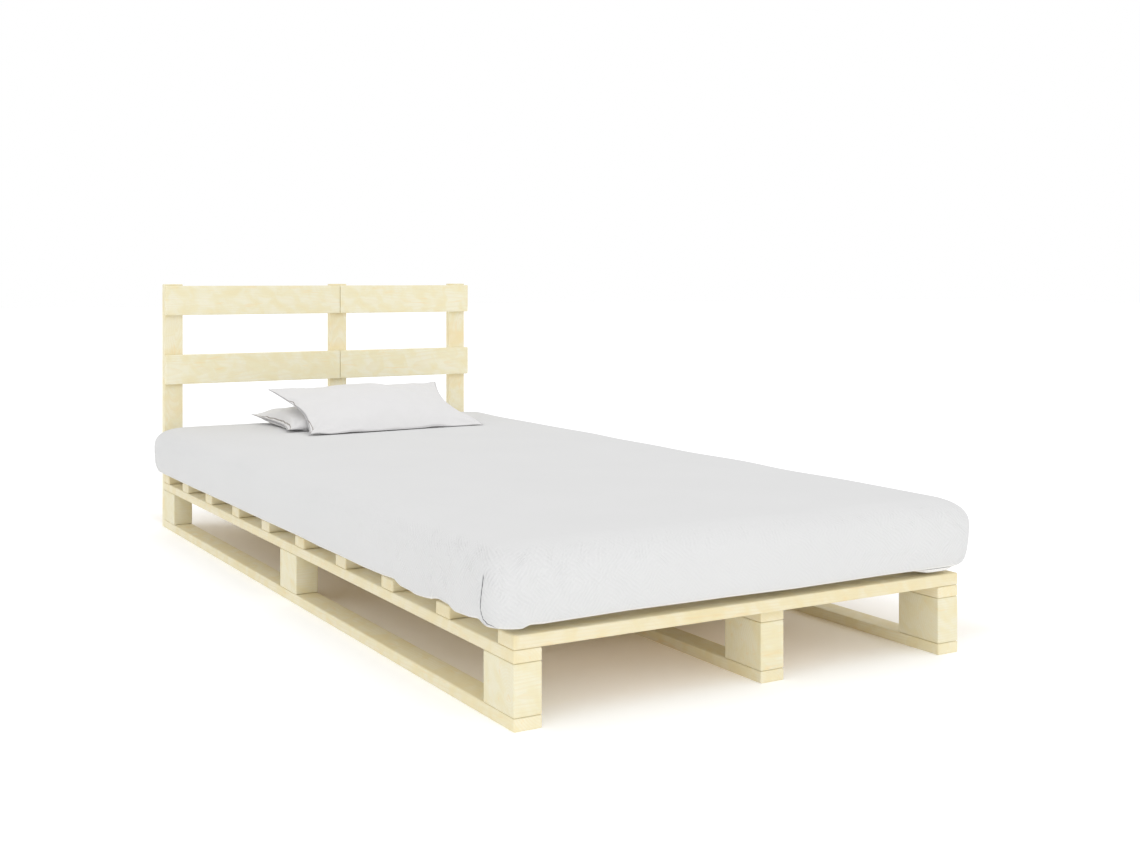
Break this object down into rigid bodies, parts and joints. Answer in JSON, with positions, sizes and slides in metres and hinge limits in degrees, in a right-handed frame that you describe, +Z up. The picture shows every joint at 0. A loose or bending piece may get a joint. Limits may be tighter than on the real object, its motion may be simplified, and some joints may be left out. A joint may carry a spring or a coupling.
{
  "type": "pallet bed",
  "caption": "Low single pallet-style bed in pine with a slatted deck on block runners, a plank headboard, a mattress in a fitted sheet and two pillows.",
  "frame": {"origin": "on the floor, under the middle of the whole bed's box", "axes": "+X across the bed to the right of someone who looks from the foot to the headboard, +Y from the foot to the headboard, +Z up"},
  "size_m": [0.98, 2.0374, 0.6535],
  "materials": {
    "pine_runner": "matte",
    "pine_slat": "matte",
    "pine_headboard": "matte",
    "cotton_sheet": "matte",
    "cotton_pillowcase": "matte",
    "zinc_plated_steel": "satin"
  },
  "bodies": {
    "root": {"bottom_rail_left": "pine_runner", "bottom_rail_centre": "pine_runner", "bottom_rail_right": "pine_runner", "block_left_foot": "pine_runner", "block_left_middle": "pine_runner", "block_left_head": "pine_runner", "block_centre_foot": "pine_runner", "block_centre_middle": "pine_runner", "block_centre_head": "pine_runner", "block_right_foot": "pine_runner", "block_right_middle": "pine_runner", "block_right_head": "pine_runner", "top_rail_left": "pine_runner", "top_rail_centre": "pine_runner", "top_rail_right": "pine_runner", "slat_01": "pine_slat", "slat_02": "pine_slat", "slat_03": "pine_slat", "slat_04": "pine_slat", "slat_05": "pine_slat", "slat_06": "pine_slat", "slat_07": "pine_slat", "slat_08": "pine_slat", "slat_09": "pine_slat", "slat_10": "pine_slat", "headboard_post_left": "pine_headboard", "headboard_post_centre": "pine_headboard", "headboard_post_right": "pine_headboard", "headboard_plank_upper_left": "pine_headboard", "headboard_plank_upper_right": "pine_headboard", "headboard_plank_lower_left": "pine_headboard", "headboard_plank_lower_right": "pine_headboard", "mattress": "cotton_sheet", "pillow_front": "cotton_pillowcase", "pillow_rear": "cotton_pillowcase", "runner_screw_left_foot": "zinc_plated_steel", "runner_screw_left_middle": "zinc_plated_steel", "runner_screw_left_head": "zinc_plated_steel", "runner_screw_centre_foot": "zinc_plated_steel", "runner_screw_centre_middle": "zinc_plated_steel", "runner_screw_centre_head": "zinc_plated_steel", "runner_screw_right_foot": "zinc_plated_steel", "runner_screw_right_middle": "zinc_plated_steel", "runner_screw_right_head": "zinc_plated_steel", "post_screw_left_lower": "zinc_plated_steel", "post_screw_left_upper": "zinc_plated_steel", "post_screw_centre_lower": "zinc_plated_steel", "post_screw_centre_upper": "zinc_plated_steel", "post_screw_right_lower": "zinc_plated_steel", "post_screw_right_upper": "zinc_plated_steel", "plank_screw_upper_left_end": "zinc_plated_steel", "plank_screw_upper_left_joint": "zinc_plated_steel", "plank_screw_upper_right_joint": "zinc_plated_steel", "plank_screw_upper_right_end": "zinc_plated_steel", "plank_screw_lower_left_end": "zinc_plated_steel", "plank_screw_lower_left_joint": "zinc_plated_steel", "plank_screw_lower_right_joint": "zinc_plated_steel", "plank_screw_lower_right_end": "zinc_plated_steel"}
  },
  "joints": []
}
